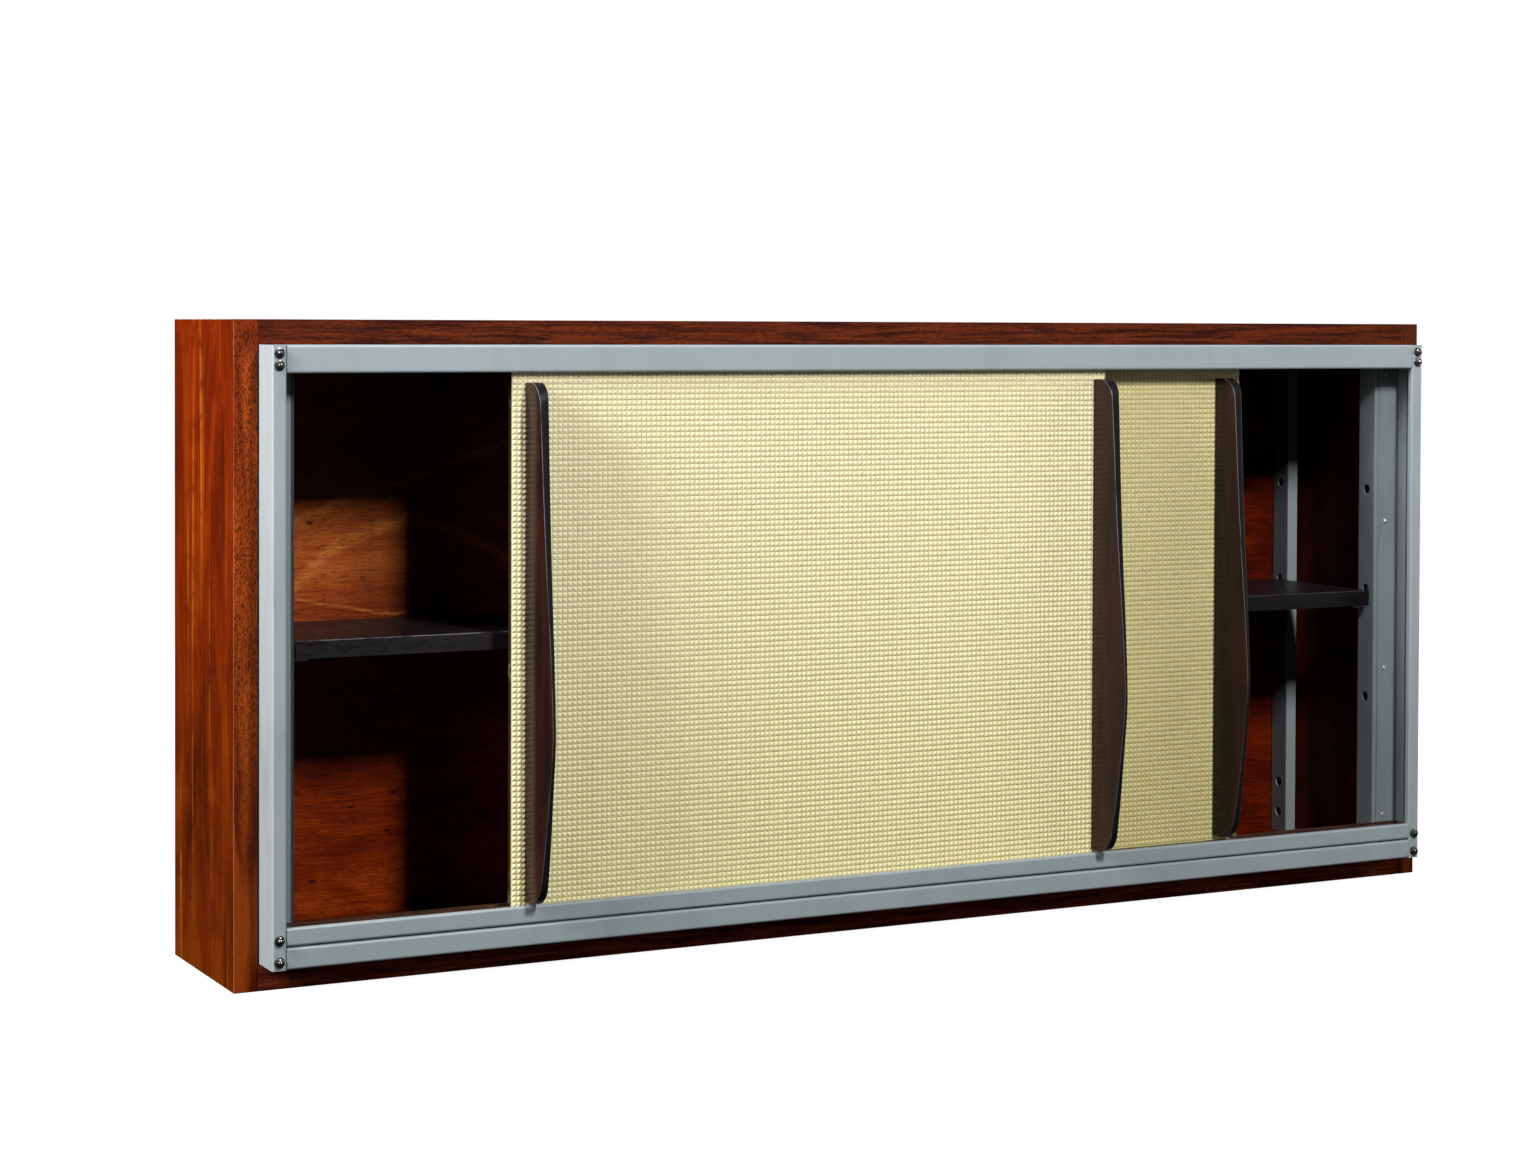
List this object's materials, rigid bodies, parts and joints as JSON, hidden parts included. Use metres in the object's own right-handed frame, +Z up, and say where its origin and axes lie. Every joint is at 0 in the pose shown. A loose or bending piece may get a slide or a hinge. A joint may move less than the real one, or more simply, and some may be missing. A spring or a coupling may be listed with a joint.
{
  "type": "two-door cabinet",
  "caption": "Long, shallow wooden cabinet with a proud steel face frame, grooved runners, sliding embossed-sheet doors with fin handles, and an inner shelf on holed uprights.",
  "frame": {"origin": "middle of the bottom of the bounding box, on the surface the cabinet stands on", "axes": "+X along the width, to the right seen from the front; +Y from the doors to the back; +Z up"},
  "size_m": [1.58, 0.3164, 0.713],
  "materials": {
    "mahogany": "red-brown figured wood, satin varnish",
    "painted_steel": "grey-blue satin paint on folded steel sheet",
    "dark_wood": "near-black stained wood, satin",
    "pale_door_sheet": "pale yellow satin lacquer on pressed sheet",
    "door_core": "dark painted board with a worn edge",
    "runner_wood": "brown wood, rubbed bare in places",
    "plated_screw": "dull aged plating",
    "bright_zinc": "bright zinc plating"
  },
  "bodies": {
    "cabinet": {"left_side": "mahogany", "right_side": "mahogany", "top_board": "mahogany", "base_board": "mahogany", "back_board": "mahogany", "left_stile": "painted_steel", "right_stile": "painted_steel", "top_rail": "painted_steel", "lower_rail": "painted_steel", "sill_rail": "painted_steel", "left_jamb": "painted_steel", "right_jamb": "painted_steel", "front_upright_left": "painted_steel", "front_upright_right": "painted_steel", "rear_upright_left": "painted_steel", "rear_upright_right": "painted_steel", "top_rail_bolt_left_1": "plated_screw", "top_rail_bolt_left_2": "plated_screw", "top_rail_bolt_right_1": "plated_screw", "top_rail_bolt_right_2": "plated_screw", "lower_rail_bolt_left": "plated_screw", "lower_rail_bolt_right": "plated_screw", "sill_rail_bolt_left": "plated_screw", "sill_rail_bolt_right": "plated_screw", "stile_fixing_left_1": "bright_zinc", "stile_fixing_left_2": "bright_zinc", "stile_fixing_right_1": "bright_zinc", "stile_fixing_right_2": "bright_zinc", "left_jamb_screw_1": "bright_zinc", "left_jamb_screw_2": "bright_zinc", "left_jamb_screw_3": "bright_zinc", "left_jamb_screw_4": "bright_zinc", "right_jamb_screw_1": "bright_zinc", "right_jamb_screw_2": "bright_zinc", "right_jamb_screw_3": "bright_zinc", "right_jamb_screw_4": "bright_zinc", "shelf": "dark_wood", "shelf_clip_front_left": "bright_zinc", "shelf_clip_rear_left": "bright_zinc", "shelf_clip_front_right": "bright_zinc", "shelf_clip_rear_right": "bright_zinc", "sill_runner": "runner_wood", "top_runner": "runner_wood"},
    "front_door": {"front_door_core": "door_core", "front_door_sheet": "pale_door_sheet", "front_door_outer_handle": "dark_wood", "front_door_meeting_handle": "dark_wood", "front_door_outer_handle_screw_1": "plated_screw", "front_door_outer_handle_screw_2": "plated_screw", "front_door_meeting_handle_screw_1": "plated_screw", "front_door_meeting_handle_screw_2": "plated_screw"},
    "rear_door": {"rear_door_core": "door_core", "rear_door_sheet": "pale_door_sheet", "rear_door_handle": "dark_wood", "rear_door_handle_screw_1": "plated_screw", "rear_door_handle_screw_2": "plated_screw"}
  },
  "joints": [
    {"name": "front_door_slide", "type": "slide", "parent": "cabinet", "child": "front_door", "axis": [1, 0, 0], "range_m": [-0.271, 0.0875]},
    {"name": "rear_door_slide", "type": "slide", "parent": "cabinet", "child": "rear_door", "axis": [1, 0, 0], "range_m": [-0.0875, 0.2615]}
  ]
}
